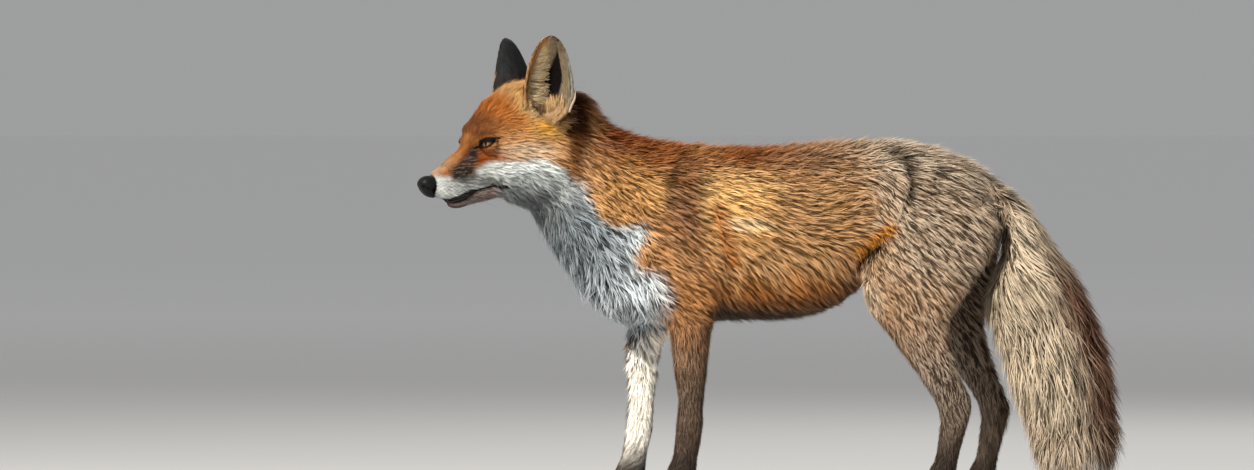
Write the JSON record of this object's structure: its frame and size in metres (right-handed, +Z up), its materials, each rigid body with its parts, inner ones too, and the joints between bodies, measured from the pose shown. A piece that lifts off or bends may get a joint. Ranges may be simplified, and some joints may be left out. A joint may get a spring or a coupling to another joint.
{
  "type": "standing red fox figure",
  "caption": "Life-size still figure of a red fox standing on four paws, its head turned a little to its left and its brush hanging almost to the ground.",
  "frame": {"origin": "on the ground, under the middle of the figure's bounding box", "axes": "+Z up; the fox looks towards -X; its left side faces -Y"},
  "size_m": [0.7448, 0.1466, 0.5072],
  "materials": {
    "pelt_tawny": "fur",
    "pelt_rust": "fur",
    "pelt_grizzle": "fur",
    "pelt_buff": "fur",
    "ear_soot": "fur",
    "nose_leather": "moist, finely grained",
    "eye_glass": "polished, amber, opaque"
  },
  "bodies": {
    "root": {"head": "pelt_rust", "nose": "nose_leather", "ear_left": "ear_soot", "ear_right": "ear_soot", "eye_left": "eye_glass", "eye_right": "eye_glass", "neck": "pelt_rust", "trunk": "pelt_tawny", "tail": "pelt_buff", "foreleg_left": "pelt_grizzle", "foreleg_right": "pelt_grizzle", "forepaw_left": "pelt_grizzle", "forepaw_right": "pelt_grizzle", "hindleg_left": "pelt_grizzle", "hindleg_right": "pelt_grizzle", "hindpaw_left": "pelt_grizzle", "hindpaw_right": "pelt_grizzle"}
  },
  "joints": []
}
